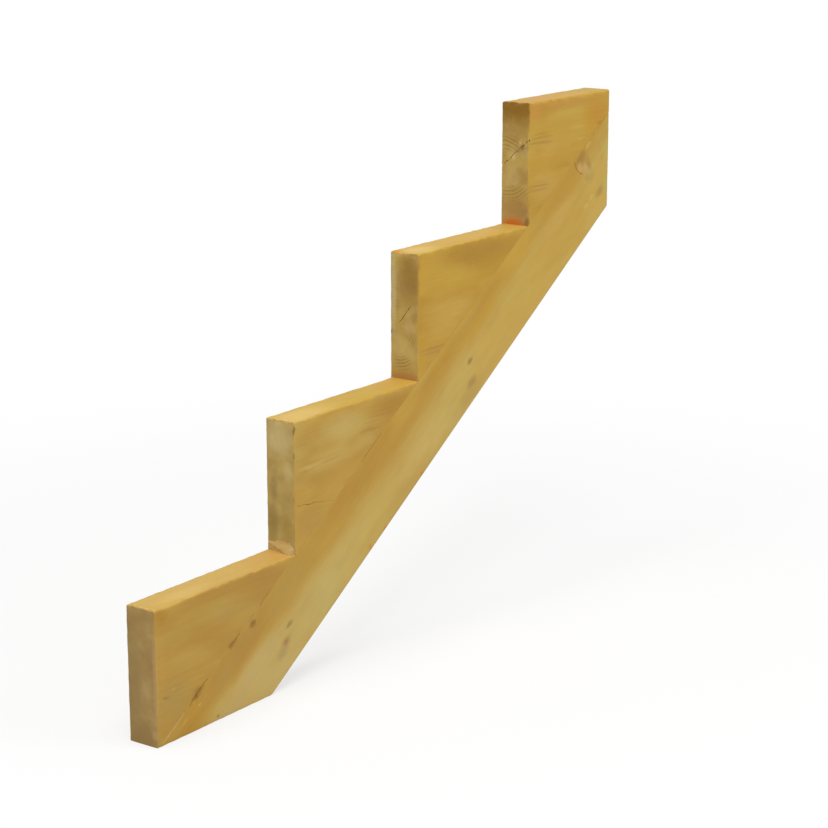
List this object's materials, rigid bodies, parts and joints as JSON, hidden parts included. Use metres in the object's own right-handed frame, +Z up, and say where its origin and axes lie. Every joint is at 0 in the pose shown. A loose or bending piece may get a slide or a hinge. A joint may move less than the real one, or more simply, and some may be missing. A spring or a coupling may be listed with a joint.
{
  "type": "stair stringer",
  "caption": "Built-up softwood stair stringer: a sloping carriage board with triangular step blocks glued along its upper edge, level cut at the landing and plumb cut at the header.",
  "frame": {"origin": "on the landing, at the middle of the level cut and of the thickness", "axes": "+X up the flight from the first riser to the header, +Y across the thickness, +Z up"},
  "size_m": [1.03, 0.045, 0.7],
  "materials": {
    "carriage_wood": "planed pressure-treated pine, greenish yellow, matt",
    "block_wood": "planed and sawn pressure-treated pine, olive yellow, matt, darker end grain"
  },
  "bodies": {
    "root": {"carriage": "carriage_wood", "step_block_1": "block_wood", "step_block_2": "block_wood", "step_block_3": "block_wood", "step_block_4": "block_wood"}
  },
  "joints": []
}
